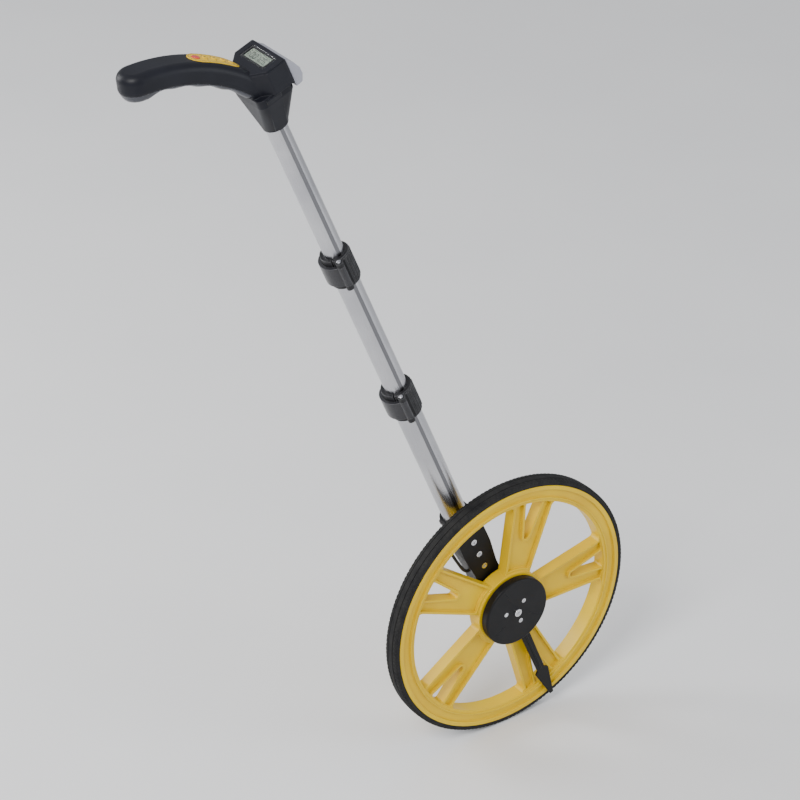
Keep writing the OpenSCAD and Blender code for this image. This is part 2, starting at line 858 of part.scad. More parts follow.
module handle_bottom_shell() {
    color([0.075, 0.075, 0.08]) at_pole() difference() {
        union() {
            grip_shell(grip_root_a + 0.2, 0, seam_r - 0.3);
            for (a = screw_angles) on_arch(a) translate([0, 0, grip_in + 1])
                cylinder(r = 3.6, h = 3.7);
        }
        for (a = screw_angles) on_arch(a) translate([0, 0, grip_in - 1]) {
            cylinder(r = 1.7, h = 12);
            cylinder(r = 3, h = 3.4);
        }
    }
}

module handle_screws() {
    color([0.6, 0.61, 0.63]) at_pole()
        for (a = screw_angles) on_arch(a) translate([0, 0, grip_in + 2.4])
            rotate([180, 0, 0]) screw(1.38, 9, 2.7, 1.5);
}

module tube_screw() {
    color([0.6, 0.61, 0.63]) at_pole() translate([0, 15.4, collar_u + 20])
        rotate([-90, 0, 0]) screw(1.55, 6.2, 3, 1.8);
}

// ---- Display and power ---------------------------------------------------------------

module display_window() {
    color([0.55, 0.6, 0.58, 0.5]) at_pole()
        translate([12.3, 0, head_u - 1.2]) linear_extrude(1) rounded(16.8, 39.8, 1.4);
}

module display_module() {
    color([0.55, 0.62, 0.55]) at_pole() translate([12.3, 0, head_u - 5.2])
        linear_extrude(3) rounded(13, 35.4, 0.8);
}

module circuit_board() {
    color([0.1, 0.35, 0.16]) at_pole() {
        translate([3.4, -22, head_u - 8.4]) cube([13.8, 44, 1.6]);
        translate([5, -6, head_u - 10]) cube([8, 8, 1.6 + eps]);
        translate([5, 10, head_u - 12.4]) cube([6, 8, 4 + eps]);
    }
}

module at_battery(i) {
    translate([25, 0, neck_u + 1 + i * 11.6]) rotate([i * 180 + 90, 0, 0]) children();
}

module batteries() {
    color([0.2, 0.22, 0.25]) at_pole()
        for (i = [0, 1]) at_battery(i) {
            translate([0, 0, -battery_l / 2]) cylinder(r = battery_r, h = battery_l - 0.8);
            cylinder(r = 1.9, h = battery_l / 2);
        }
}

module battery_contacts() {
    color([0.8, 0.8, 0.76]) at_pole()
        for (i = [0, 1]) at_battery(i) {
            translate([-4, -4, battery_l / 2]) cube([8, 8, 0.4]);
            translate([0, 0, -battery_l / 2 - 0.7]) cylinder(r = 2.5, h = 0.7);
        }
}

// Outline of the battery door's bulge, across and along the pole
module door_2d() {
    offset(r = 2) offset(delta = -2)
        polygon([[20, neck_u - 8.5], [33.4, neck_u - 7.6], [36.6, neck_u],
                 [36.6, neck_u + 7], [32.4, neck_u + 17], [27.4, neck_u + 22.4],
                 [20, neck_u + 22.4]]);
}

module battery_door() {
    color([0.45, 0.46, 0.5]) at_pole() difference() {
        side_view() linear_extrude(door_w, center = true) door_2d();
        translate([0, -60, 0]) cube([head_front + 0.3, 120, 2000]);
        side_view() linear_extrude(door_w - 3, center = true) offset(delta = -1.8) door_2d();
    }
    // clips that reach in to the head, the lower ones on short blocks
    color([0.45, 0.46, 0.5]) at_pole() for (s = [-1, 1]) {
        for (u = [-5.8, 18.6])
            translate([head_front - 3, s * 14 - 4, neck_u + u]) cube([6, 8, 1.4]);
        translate([head_front + 0.6, s * 14 - 4, neck_u - 7.4]) cube([2.4, 8, 2.4]);
    }
}

// ---- Keypad ------------------------------------------------------------------------------

// Key 0 is the power button, at the far end of the row
function key_angle(k) = pad_mid_a + (k == 0 ? 20 : 20 - k * key_pitch) * 180 / (PI * grip_r);
function key_r(k) = k == 0 ? 4 : 2.9;

module pad_outline(grow) {
    linear_extrude(40) {
        square([pad_l - pad_w, pad_w + 2 * grow], center = true);
        for (s = [-1, 1])
            translate([s * (pad_l - pad_w) / 2, 0]) circle(r = pad_w / 2 + grow);
    }
}

// The stadium of the keypad cut out of the arch between two radii
module pad_slab(r_in, r_out, grow) {
    intersection() {
        difference() {
            inside_arch(r_out);
            inside_arch(r_in);
        }
        on_arch(pad_mid_a) translate([0, 0, grip_r - 20]) pad_outline(grow);
    }
}

module keypad_panel() {
    color([0.93, 0.76, 0.16]) at_pole() difference() {
        pad_slab(grip_r - 1, pad_r, 0);
        for (k = [0:4]) on_arch(key_angle(k)) translate([0, 0, grip_r - 8])
            cylinder(r = key_r(k) + 0.3, h = 12);
    }
}

module key_circuit() {
    color([0.75, 0.5, 0.15]) at_pole() intersection() {
        difference() {
            inside_arch(grip_r - 6.8);
            inside_arch(grip_r - 7.4);
        }
        on_arch(pad_mid_a) translate([-26, -8, grip_r - 20]) cube([52, 16, 30]);
    }
}

module switch_domes() {
    color([0.8, 0.8, 0.76]) at_pole()
        for (k = [0:4]) on_arch(key_angle(k)) translate([0, 0, grip_r - 6.75])
            cylinder(r = 2.2, h = 1.95);
}

module key_cap(k) {
    on_arch(key_angle(k)) translate([0, 0, key_foot]) {
        cylinder(r = key_r(k) + 1.2, h = 1);
        cylinder(r = key_r(k), h = key_top - key_foot - 0.5);
        translate([0, 0, key_top - key_foot - 0.5])
            cylinder(r1 = key_r(k), r2 = key_r(k) - 0.6, h = 0.5);
    }
}

module power_button() { color([0.8, 0.08, 0.06]) at_pole() key_cap(0); }
module key_1() { color([0.9, 0.72, 0.14]) at_pole() key_cap(1); }
module key_2() { color([0.9, 0.72, 0.14]) at_pole() key_cap(2); }
module key_3() { color([0.9, 0.72, 0.14]) at_pole() key_cap(3); }
module key_4() { color([0.9, 0.72, 0.14]) at_pole() key_cap(4); }

tyre();
wheel();
bearing_outer_rings();
bearing_balls();
encoder_magnets();
bearing_inner_rings();
bearing_spacer();
axle();
axle_washers();
axle_nut();
axle_screw();
pointer();
hub_cover();
cover_screws();
bracket_front();
bracket_rear();
bracket_screws();
bracket_nuts();
sensor_board();
sensor_cable();
cable_grommet();
lower_tube();
lower_clamp_collar();
lower_clamp_sleeve();
lower_clamp_pin();
lower_clamp_lever();
cable_coil_lower();
middle_tube();
middle_guide_bush();
upper_clamp_collar();
upper_clamp_sleeve();
upper_clamp_pin();
upper_clamp_lever();
upper_tube();
upper_guide_bush();
handle_top_shell();
handle_bottom_shell();
handle_screws();
tube_screw();
display_window();
display_module();
circuit_board();
batteries();
battery_contacts();
battery_door();
keypad_panel();
key_circuit();
switch_domes();
power_button();
key_1();
key_2();
key_3();
key_4();
cable_coil_upper();
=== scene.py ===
import json
import math

import bpy
from mathutils import Matrix, Vector


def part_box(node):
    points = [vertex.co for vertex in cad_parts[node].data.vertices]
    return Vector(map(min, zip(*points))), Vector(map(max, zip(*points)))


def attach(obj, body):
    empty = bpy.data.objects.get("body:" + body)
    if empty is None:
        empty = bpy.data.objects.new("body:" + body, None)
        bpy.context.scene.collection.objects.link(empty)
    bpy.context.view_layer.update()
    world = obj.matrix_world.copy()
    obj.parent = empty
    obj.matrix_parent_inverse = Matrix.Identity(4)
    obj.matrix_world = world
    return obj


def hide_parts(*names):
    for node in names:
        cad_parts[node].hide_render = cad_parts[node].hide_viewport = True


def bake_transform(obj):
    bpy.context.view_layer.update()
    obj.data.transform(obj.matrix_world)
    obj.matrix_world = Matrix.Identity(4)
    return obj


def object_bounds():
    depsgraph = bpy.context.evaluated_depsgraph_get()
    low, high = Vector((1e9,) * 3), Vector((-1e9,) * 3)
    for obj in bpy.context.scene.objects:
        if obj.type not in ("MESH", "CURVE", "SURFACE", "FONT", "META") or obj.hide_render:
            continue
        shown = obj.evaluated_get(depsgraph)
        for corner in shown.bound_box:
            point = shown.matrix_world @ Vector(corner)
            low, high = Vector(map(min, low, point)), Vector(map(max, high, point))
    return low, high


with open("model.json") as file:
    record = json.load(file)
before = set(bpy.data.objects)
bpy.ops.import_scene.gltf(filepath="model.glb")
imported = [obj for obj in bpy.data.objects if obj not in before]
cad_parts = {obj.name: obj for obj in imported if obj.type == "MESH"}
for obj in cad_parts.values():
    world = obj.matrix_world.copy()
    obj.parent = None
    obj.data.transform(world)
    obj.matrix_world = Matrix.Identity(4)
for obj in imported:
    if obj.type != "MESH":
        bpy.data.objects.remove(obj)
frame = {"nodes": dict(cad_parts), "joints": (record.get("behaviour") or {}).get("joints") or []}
CAD_LO, CAD_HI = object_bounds()
nodes = frame["nodes"]
joints = {j["name"]: j for j in frame["joints"]}
MM = 0.001

# ---- Frames of the part: the pole's (across, towards the back, along) and the wheel's --------
AXLE = Vector(joints["wheel_spin"]["pos_m"])
UP = Vector(joints["upper_slide"]["axis"]).normalized()
ACROSS = Vector((UP.z, 0, -UP.x))
LEAN = math.atan2(-UP.x, UP.z)
lo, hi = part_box("upper_tube")
POLE_Y = (lo.y + hi.y) / 2
POLE = Matrix.Translation((AXLE.x, POLE_Y, AXLE.z)) @ Matrix(
    (ACROSS, (0, 1, 0), UP)).transposed().to_4x4()
ARCH_X, ARCH_U, GRIP_R = -153, 682, 180


def pole(v, y, u):
    return POLE @ (Vector((v, y, u)) * MM)


def arch(a, along=0.0, y=0.0, r=GRIP_R):
    """A point on the grip's arch by its angle: along runs towards the head, and r is from
    the arch's centre."""
    a = math.radians(a)
    return pole(ARCH_X + r * math.cos(a) + along * math.sin(a), y,
                ARCH_U + r * math.sin(a) - along * math.cos(a))


# ---- Camera ----------------------------------------------------------------------------------
cam_data = bpy.data.cameras.new("Camera")
cam = bpy.data.objects.new("Camera", cam_data)
bpy.context.scene.collection.objects.link(cam)
bpy.context.scene.camera = cam
PHOTO_LENS, ENLARGED = 58.6, 2.02
cam_data.sensor_width = 36
cam_data.lens = PHOTO_LENS * ENLARGED
cam.location = (-1.523, -1.865, 1.861)
seen = Matrix(((0.82235, 0.25497, -0.50866), (-0.56876, 0.39369, -0.72217),
               (0.01612, 0.88318, 0.46876)))
CENTRING = Vector((0.006, 0, 0.012))
aim = (CAD_LO + CAD_HI) / 2 + CENTRING - cam.location
turn = (-seen.col[2]).rotation_difference(aim)
cam.rotation_mode = "QUATERNION"
cam.rotation_quaternion = turn @ seen.to_quaternion()
cam_data.clip_start, cam_data.clip_end = 0.05, 60


# ---- Materials -------------------------------------------------------------------------------
def link(nt, a, b):
    nt.links.new(a, b)


def coords(nt, turn_y=0.0, scale=(1, 1, 1)):
    """Object coordinates, turned to the pole if asked, then scaled, in metres before scaling."""
    tc = nt.nodes.new("ShaderNodeTexCoord")
    rot = nt.nodes.new("ShaderNodeMapping")
    rot.inputs["Rotation"].default_value = (0, turn_y, 0)
    link(nt, tc.outputs["Object"], rot.inputs["Vector"])
    sc = nt.nodes.new("ShaderNodeMapping")
    sc.inputs["Scale"].default_value = scale
    link(nt, rot.outputs["Vector"], sc.inputs["Vector"])
    return sc.outputs["Vector"]


def noise(nt, vec, scale, detail=3.0, rough=0.5):
    n = nt.nodes.new("ShaderNodeTexNoise")
    n.inputs["Scale"].default_value = scale
    n.inputs["Detail"].default_value = detail
    n.inputs["Roughness"].default_value = rough
    link(nt, vec, n.inputs["Vector"])
    return n.outputs["Fac"]


def spread(nt, value, a, b, lo=0.3, hi=0.7):
    m = nt.nodes.new("ShaderNodeMapRange")
    m.inputs["From Min"].default_value = lo
    m.inputs["From Max"].default_value = hi
    m.inputs["To Min"].default_value = a
    m.inputs["To Max"].default_value = b
    link(nt, value, m.inputs["Value"])
    return m.outputs["Result"]


def mix(nt, fac, a, b):
    m = nt.nodes.new("ShaderNodeMix")
    m.data_type = "RGBA"
    for sock, val in ((m.inputs[6], a), (m.inputs[7], b)):
        if hasattr(val, "links"):
            link(nt, val, sock)
        else:
            sock.default_value = (*val, 1)
    link(nt, fac, m.inputs[0])
    return m.outputs[2]


def calc(nt, operation, a, b=None):
    m = nt.nodes.new("ShaderNodeMath")
    m.operation = operation
    for sock, val in zip(m.inputs, (a, b)):
        if hasattr(val, "links"):
            link(nt, val, sock)
        elif val is not None:
            sock.default_value = val
    return m.outputs[0]


AXIS_V = AXLE.x * math.cos(LEAN) + AXLE.z * math.sin(LEAN)


def surface(name, tone, tone2, rough, metallic=0.0, grain=2500, bump=0.15, depth=0.00008,
            blotch=35, bevel=0.0004, edge=None, coat=0.0, sheen=0.0, streak=None, spec=0.5,
            cells=False, groove=None):
    """A material whose colour, roughness and relief all vary. streak is the stretch of its
    grain along the pole; edge is the lighter colour laid on its rounded edges, partly wear and
    partly painted highlight; groove is the tone of the painted shade laid in the groove down the
    front of each tube."""
    mat = bpy.data.materials.new(name)
    mat.use_nodes = True
    nt = mat.node_tree
    bsdf = nt.nodes["Principled BSDF"]
    bsdf.inputs["Metallic"].default_value = metallic
    bsdf.inputs["Coat Weight"].default_value = coat
    bsdf.inputs["Coat Roughness"].default_value = 0.12
    bsdf.inputs["Sheen Weight"].default_value = sheen
    bsdf.inputs["Specular IOR Level"].default_value = spec
    plain = coords(nt)
    fine = coords(nt, LEAN, streak) if streak else plain
    colour = mix(nt, spread(nt, noise(nt, plain, blotch), 0, 1), tone, tone2)
    rounded = nt.nodes.new("ShaderNodeBevel")
    rounded.samples = 6
    rounded.inputs["Radius"].default_value = bevel
    # Partly wear, partly painted highlight: rounded edges, found where the bevelled normal turns
    # from the true one, get a lighter colour that noise breaks up.
    if edge:
        geo = nt.nodes.new("ShaderNodeNewGeometry")
        dot = nt.nodes.new("ShaderNodeVectorMath")
        dot.operation = "DOT_PRODUCT"
        link(nt, geo.outputs["Normal"], dot.inputs[0])
        link(nt, rounded.outputs["Normal"], dot.inputs[1])
        edge_wear_and_highlight = spread(nt, dot.outputs["Value"], 0.75, 0, 0.86, 0.995)
        patchy = spread(nt, noise(nt, plain, 160, 4), 0.35, 1)
        colour = mix(nt, calc(nt, "MULTIPLY", edge_wear_and_highlight, patchy), colour, edge)
    # Painted shade: a darker band down the front of each tube, laid in its groove.
    if groove:
        sep = nt.nodes.new("ShaderNodeSeparateXYZ")
        link(nt, coords(nt, LEAN), sep.inputs[0])
        off = calc(nt, "ABSOLUTE", calc(nt, "SUBTRACT", sep.outputs["X"], AXIS_V))
        band = spread(nt, off, 1, 0, 0.0019, 0.0023)
        front = calc(nt, "LESS_THAN", sep.outputs["Y"], POLE_Y)
        colour = mix(nt, calc(nt, "MULTIPLY", band, front), colour, groove)
    link(nt, colour, bsdf.inputs["Base Color"])
    g = noise(nt, fine, grain, 4, 0.6)
    link(nt, spread(nt, g, rough[0], rough[1]), bsdf.inputs["Roughness"])
    relief = g
    if cells:
        vor = nt.nodes.new("ShaderNodeTexVoronoi")
        vor.feature = "SMOOTH_F1"
        vor.inputs["Scale"].default_value = grain
        link(nt, fine, vor.inputs["Vector"])
        relief = vor.outputs["Distance"]
    bm = nt.nodes.new("ShaderNodeBump")
    bm.inputs["Strength"].default_value = bump
    bm.inputs["Distance"].default_value = depth
    link(nt, relief, bm.inputs["Height"])
    link(nt, rounded.outputs["Normal"], bm.inputs["Normal"])
    link(nt, bm.outputs["Normal"], bsdf.inputs["Normal"])
    return mat


# The edge colours below are lighter tones laid on rounded edges: partly wear, partly painted
# highlight.
YELLOW = surface("moulded_yellow", (0.72, 0.48, 0.001), (0.62, 0.385, 0.001), (0.3, 0.44),
                 grain=1400, bump=0.1, blotch=14, bevel=0.0011, edge=(0.82, 0.58, 0.012),
                 coat=0.05, spec=0.28)
KEY_YELLOW = surface("keypad_yellow", (0.76, 0.49, 0.002), (0.69, 0.42, 0.002), (0.36, 0.48),
                     grain=2600, bump=0.15, blotch=60, bevel=0.0005, edge=(0.87, 0.6, 0.03))
BLACK = surface("moulded_black", (0.005, 0.005, 0.0058), (0.008, 0.008, 0.009), (0.36, 0.52),
                grain=2300, bump=0.3, bevel=0.0006, edge=(0.05, 0.05, 0.054), spec=0.18,
                cells=True)
HANDLE = surface("handle_black", (0.006, 0.0065, 0.010), (0.009, 0.0098, 0.015), (0.36, 0.5),
                 grain=1700, bump=0.22, bevel=0.0014, edge=(0.03, 0.032, 0.04), spec=0.2,
                 cells=True)
# The underside's lighter, bluer tone is partly the grip's own bluish black and partly painted
# highlight, standing in for the band of light along the underside.
SOFT = surface("soft_grip", (0.016, 0.018, 0.028), (0.023, 0.0255, 0.038), (0.32, 0.44),
               grain=1500, bump=0.3, depth=0.0001, bevel=0.0008, sheen=0.1, spec=0.4,
               cells=True)
CLAMP = surface("clamp_black", (0.010, 0.010, 0.0115), (0.016, 0.016, 0.018), (0.3, 0.46),
                grain=2300, bump=0.25, bevel=0.001, edge=(0.2, 0.2, 0.21), spec=0.22,
                cells=True)
LEVER = surface("lever_black", (0.018, 0.018, 0.021), (0.026, 0.026, 0.03), (0.22, 0.34),
                grain=2600, bump=0.12, bevel=0.001, edge=(0.2, 0.2, 0.215), coat=0.12, spec=0.3)
GREY = surface("door_grey", (0.33, 0.335, 0.38), (0.27, 0.275, 0.32), (0.3, 0.44), grain=2200,
               bump=0.2, bevel=0.0009, edge=(0.5, 0.5, 0.55), cells=True)
NYLON = surface("nylon_grey", (0.11, 0.11, 0.12), (0.15, 0.15, 0.16), (0.45, 0.6),
                bevel=0.0003)
RED = surface("button_red", (0.62, 0.022, 0.014), (0.5, 0.016, 0.012), (0.2, 0.32),
              grain=2600, bump=0.08, bevel=0.0007, edge=(0.8, 0.12, 0.08), coat=0.4)
# The groove tone below is painted shade laid down the front of each tube.
ALU = surface("brushed_aluminium", (0.52, 0.52, 0.54), (0.43, 0.43, 0.455), (0.2, 0.34),
              metallic=1, grain=1, bump=0.25, depth=0.00003, blotch=22, bevel=0.0003,
              edge=(0.8, 0.8, 0.8), streak=(5200, 5200, 28), groove=(0.17, 0.17, 0.18))
STEEL = surface("ground_steel", (0.60, 0.60, 0.62), (0.50, 0.50, 0.53), (0.2, 0.34),
                metallic=1, grain=3000, bump=0.1, bevel=0.0002)
ZINC = surface("zinc_plate", (0.74, 0.74, 0.76), (0.62, 0.63, 0.66), (0.14, 0.3), metallic=1,
               grain=1800, bump=0.12, bevel=0.00025, blotch=220)
MAGNET = surface("nickel", (0.48, 0.47, 0.45), (0.4, 0.39, 0.38), (0.2, 0.35), metallic=1,
                 bevel=0.0002)
RUBBER = surface("tyre_rubber", (0.009, 0.009, 0.0098), (0.019, 0.0185, 0.0178), (0.62, 0.86),
                 grain=900, bump=0.4, depth=0.0001, blotch=90, bevel=0.0006,
                 edge=(0.05, 0.049, 0.047), spec=0.18)
LEAD = surface("lead_rubber", (0.016, 0.016, 0.017), (0.024, 0.024, 0.025), (0.45, 0.6),
               grain=1500, bump=0.2, bevel=0.0002)
BOARD = surface("board_green", (0.018, 0.13, 0.045), (0.012, 0.09, 0.03), (0.25, 0.4),
                grain=700, bump=0.15, blotch=420, bevel=0.0001, coat=0.3)
FLEX = surface("flex_film", (0.42, 0.22, 0.03), (0.3, 0.15, 0.02), (0.25, 0.4), blotch=300,
               bevel=0.0001)
CELL = surface("cell_sleeve", (0.03, 0.032, 0.04), (0.05, 0.055, 0.07), (0.15, 0.28),
               blotch=120, bevel=0.0003, coat=0.5)
LCD = surface("lcd_film", (0.40, 0.44, 0.37), (0.34, 0.385, 0.325), (0.35, 0.5), grain=3500,
              bump=0.03, blotch=90, bevel=0.0001)
INK = surface("print_ink", (0.012, 0.012, 0.014), (0.022, 0.022, 0.025), (0.4, 0.55),
              bevel=0.00005)
RED_INK = surface("print_red", (0.5, 0.02, 0.012), (0.4, 0.016, 0.01), (0.4, 0.55),
                  bevel=0.00005)

GLASS = bpy.data.materials.new("display_glass")
GLASS.use_nodes = True
g_nt = GLASS.node_tree
g_bsdf = g_nt.nodes["Principled BSDF"]
g_bsdf.inputs["Transmission Weight"].default_value = 1
g_bsdf.inputs["IOR"].default_value = 1.3
g_v = coords(g_nt)
link(g_nt, mix(g_nt, spread(g_nt, noise(g_nt, g_v, 60), 0, 1), (0.93, 0.96, 0.94),
               (0.87, 0.91, 0.89)), g_bsdf.inputs["Base Color"])
link(g_nt, spread(g_nt, noise(g_nt, g_v, 900), 0.015, 0.06), g_bsdf.inputs["Roughness"])

PAINT = {
    YELLOW: ["wheel"],
    KEY_YELLOW: ["keypad_panel", "key_1", "key_2", "key_3", "key_4"],
    BLACK: ["pointer", "hub_cover", "bracket_front", "bracket_rear"],
    CLAMP: ["lower_clamp_collar", "upper_clamp_collar"],
    HANDLE: ["handle_top_shell", "handle_bottom_shell"],
    LEVER: ["lower_clamp_lever", "upper_clamp_lever"],
    GREY: ["battery_door"],
    NYLON: ["lower_clamp_sleeve", "upper_clamp_sleeve", "middle_guide_bush",
            "upper_guide_bush"],
    RED: ["power_button"],
    ALU: ["lower_tube", "middle_tube", "upper_tube"],
    STEEL: ["bearing_outer_rings", "bearing_balls", "bearing_inner_rings", "bearing_spacer",
            "axle"],
    ZINC: ["axle_washers", "axle_nut", "axle_screw", "cover_screws", "bracket_screws",
           "bracket_nuts", "lower_clamp_pin", "upper_clamp_pin", "handle_screws",
           "tube_screw", "battery_contacts", "switch_domes"],
    MAGNET: ["encoder_magnets"],
    RUBBER: ["tyre"],
    LEAD: ["sensor_cable", "cable_grommet", "cable_coil_lower", "cable_coil_upper"],
    BOARD: ["sensor_board", "circuit_board"],
    FLEX: ["key_circuit"],
    CELL: ["batteries"],
    LCD: ["display_module"],
    GLASS: ["display_window"],
}
for material, names in PAINT.items():
    for n in names:
        for s in nodes[n].material_slots:
            s.material = material


# ---- Mesh helpers ----------------------------------------------------------------------------
def piece(name, verts, faces, material, body, smooth=True, stands_for=(), angle=40):
    me = bpy.data.meshes.new(name)
    me.from_pydata([tuple(v) for v in verts], [], faces)
    me.validate()
    me.update()
    me.materials.append(material)
    ob = bpy.data.objects.new(name, me)
    bpy.context.scene.collection.objects.link(ob)
    if smooth:
        me.shade_smooth()
        me.set_sharp_from_angle(angle=math.radians(angle))
    if body:
        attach(ob, body)
    if stands_for:
        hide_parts(*stands_for)
    return ob


def prism(points, up, height):
    """A flat plate: its outline points and the same raised by height along up."""
    n = len(points)
    verts = list(points) + [p + up * height for p in points]
    faces = [list(range(n))[::-1], list(range(n, 2 * n))]
    faces += [(i, (i + 1) % n, n + (i + 1) % n, n + i) for i in range(n)]
    return verts, faces


def printed(name, plates, ink, body):
    """Flat plates as one piece of print."""
    vs, fs = join(plates)
    piece(name, vs, fs, ink, body, smooth=False)


def join(parts):
    verts, faces = [], []
    for vs, fs in parts:
        base = len(verts)
        verts += vs
        faces += [[base + i for i in f] for f in fs]
    return verts, faces


# ---- The lead from the sensor board, up the flank and in to the tube -------------------------
ROUTE = [(-8, -9, 52), (-8.2, -9, 56), (-10, -9, 59), (-13.5, -9, 60), (-17.5, -9, 60.6),
         (-20.8, -8.4, 63), (-22.4, -7.4, 68), (-23.2, -6, 76), (-24, -4.6, 84),
         (-24.3, -3.2, 92), (-24.2, -2.3, 99), (-24, -2, 104), (-23.4, -2, 108.6),
         (-21, -2, 111.4), (-17.5, -2, 112), (-13, -2, 112), (-9, -2, 113), (-6.4, -2, 116),
         (-5.4, -2, 120), (-5.2, -2, 128), (-4.6, -1.4, 134), (-3.6, -0.8, 139.4)]


def catmull(points, steps):
    out = []
    pts = [points[0]] + list(points) + [points[-1]]
    for i in range(1, len(pts) - 2):
        p0, p1, p2, p3 = pts[i - 1:i + 3]
        for k in range(steps):
            t = k / steps
            out.append(0.5 * ((2 * p1) + (p2 - p0) * t + (2 * p0 - 5 * p1 + 4 * p2 - p3) * t * t
                              + (3 * p1 - p0 - 3 * p2 + p3) * t ** 3))
    return out + [points[-1]]


def tube_mesh(path, radius, sides):
    """A round tube along path, its rings carried along without twisting."""
    verts, faces = [], []
    d0 = (path[1] - path[0]).normalized()
    side = d0.orthogonal().normalized()
    n = len(path)
    for i, p in enumerate(path):
        d = (path[min(i + 1, n - 1)] - path[max(i - 1, 0)]).normalized()
        side = (side - d * side.dot(d)).normalized()
        other = d.cross(side)
        for k in range(sides):
            a = 2 * math.pi * k / sides
            verts.append(p + radius * (math.cos(a) * side + math.sin(a) * other))
    for i in range(n - 1):
        for k in range(sides):
            a, b = i * sides + k, i * sides + (k + 1) % sides
            faces.append((a, b, b + sides, a + sides))
    faces.append(list(range(sides))[::-1])
    faces.append([(n - 1) * sides + k for k in range(sides)])
    return verts, faces


lead_path = catmull([pole(*p) for p in ROUTE], 3)
LEAD_R = 1.8
verts, faces = tube_mesh(lead_path, LEAD_R * MM, 14)
lead = piece("sensor_lead", verts, faces, LEAD, "lower_pole",
             stands_for=["sensor_cable"])


# ---- The curly lead inside the pole ----------------------------------------------------------
CURL_R, CURL_WIRE_R, PER_TURN = 5.25, 1.2, 20
CURL_FOOT, CURL_MID, CURL_TOP = 140, 410, 700


def curly(name, node, joint, turns, foot, top):
    """A helix whose turns are spaced so that they lie side by side when the pole is shut."""
    share = joints[joint]["range_m"][1] / MM / (top - foot)
    steps = turns * PER_TURN
    path = []
    for i in range(steps + 1):
        phase = i / steps
        t = phase
        for _ in range(40):
            g = (t - share * (3 * t * t - 2 * t ** 3)) / (1 - share) - phase
            t -= g * (1 - share) / max(0.05, 1 - share * 6 * t * (1 - t))
            t = min(1, max(0, t))
        a = 2 * math.pi * turns * phase
        path.append(pole(CURL_R * math.cos(a), CURL_R * math.sin(a), foot + t * (top - foot)))
    vs, fs = tube_mesh(path, CURL_WIRE_R * MM, 8)
    ob = piece(name, vs, fs, LEAD, None, stands_for=[node])
    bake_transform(ob)


curly("curly_lead_lower", "cable_coil_lower", "lower_slide", 42, CURL_FOOT, CURL_MID)
curly("curly_lead_upper", "cable_coil_upper", "upper_slide", 44, CURL_MID, CURL_TOP)

# ---- Tyre: a crowned tread with two grooves and cross ribs on its shoulders ------------------
tyre_lo, tyre_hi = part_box("tyre")
TYRE_R = (tyre_hi.z - tyre_lo.z) / 2
TYRE_T = 6.6
RIM_R = TYRE_R - TYRE_T * MM
SEGS, SEGS_PER_RIB = 720, 4
half_profile = [(RIM_R - 2.0 * MM, 0.0), (RIM_R - 2.0 * MM, 4.0), (RIM_R, 4.02), (RIM_R, 8.0),
                (RIM_R + 0.1 * MM, 9.3), (RIM_R + 0.9 * MM, 9.85), (RIM_R + 1.8 * MM, 10.0),
                (RIM_R + 3.2 * MM, 10.0)]
for k in range(7):
    a = math.radians(90 * k / 6)
    half_profile.append((TYRE_R - 3.1 * MM + 2.7 * MM * math.sin(a), 7.3 + 2.7 * math.cos(a)))
half_profile += [(TYRE_R - 0.3 * MM, 5.6), (TYRE_R - 0.3 * MM, 4.6), (TYRE_R - 1.2 * MM, 4.3),
                 (TYRE_R - 1.2 * MM, 3.3), (TYRE_R - 0.12 * MM, 3.0), (TYRE_R, 0.0)]
profile = half_profile + [(r, -y) for r, y in half_profile[-2:0:-1]]
rows = len(profile)
verts, faces = [], []
for s in range(SEGS):
    a = 2 * math.pi * s / SEGS
    notch = s % SEGS_PER_RIB == 0
    for r, y in profile:
        rib = notch and 4.7 < abs(y) and r > TYRE_R - 3.4 * MM
        rr = r - (0.8 * MM if rib and abs(y) < 9 else 0)
        yy = y - math.copysign(0.7, y) if rib and abs(y) >= 9 else y
        verts.append((AXLE.x + rr * math.cos(a), yy * MM, AXLE.z + rr * math.sin(a)))
for s in range(SEGS):
    for k in range(rows):
        a, b = s * rows + k, s * rows + (k + 1) % rows
        c, d = (s + 1) % SEGS * rows + (k + 1) % rows, (s + 1) % SEGS * rows + k
        faces.append((a, b, c, d))
piece("tread_tyre", verts, faces, RUBBER, "wheel", stands_for=["tyre"],
      angle=32)


# ---- Underside of the grip, with shallow finger hollows --------------------------------------
SEAM_R, IN_R, HALF_W, CORNER, WALL = 160.7, 156.0, 17.0, 8.0, 2.2
A0, A1 = 30.6, 73.2
FINGERS, FINGER_DEPTH, HEEL_DEPTH = 4, 1.3, 3.4


def hollow(a):
    """How far the underside stands in towards the arch at angle a, in mm."""
    t = (a - 33.0) / 38.0
    if t <= 0 or t >= 1:
        return 0.0
    edge = min(1, 6 * t, 6 * (1 - t))
    return edge * FINGER_DEPTH * (1 - math.cos(2 * math.pi * FINGERS * t)) / 2


def heel(a):
    """How far the free end of the underside droops below the arch at angle a, in mm."""
    t = max(0.0, min(1.0, (a - 66.5) / 5.5))
    return HEEL_DEPTH * t * t * (3 - 2 * t)


def under_section(a, inset):
    """Lateral offsets and radii from one seam edge round the bottom to the middle."""
    c = CORNER
    seam_y = HALF_W - c + math.sqrt(max(0, (c - inset) ** 2 - (IN_R + c - SEAM_R) ** 2))
    out = [(seam_y, SEAM_R)]
    for k in range(9):
        b = math.radians(90 * k / 8)
        y = HALF_W - c + (c - inset) * math.cos(b)
        r = IN_R + c - (c - inset) * math.sin(b)
        if r < SEAM_R:
            out.append((y, r))
    for k in range(1, 6):
        out.append(((HALF_W - c) * (1 - k / 5), IN_R + inset))
    dip = hollow(a) - heel(a)
    res = []
    for y, r in out:
        w = max(0.0, min(1.0, (SEAM_R - 1.0 - r) / 3.0))
        res.append((y, r + dip * w))
    return res


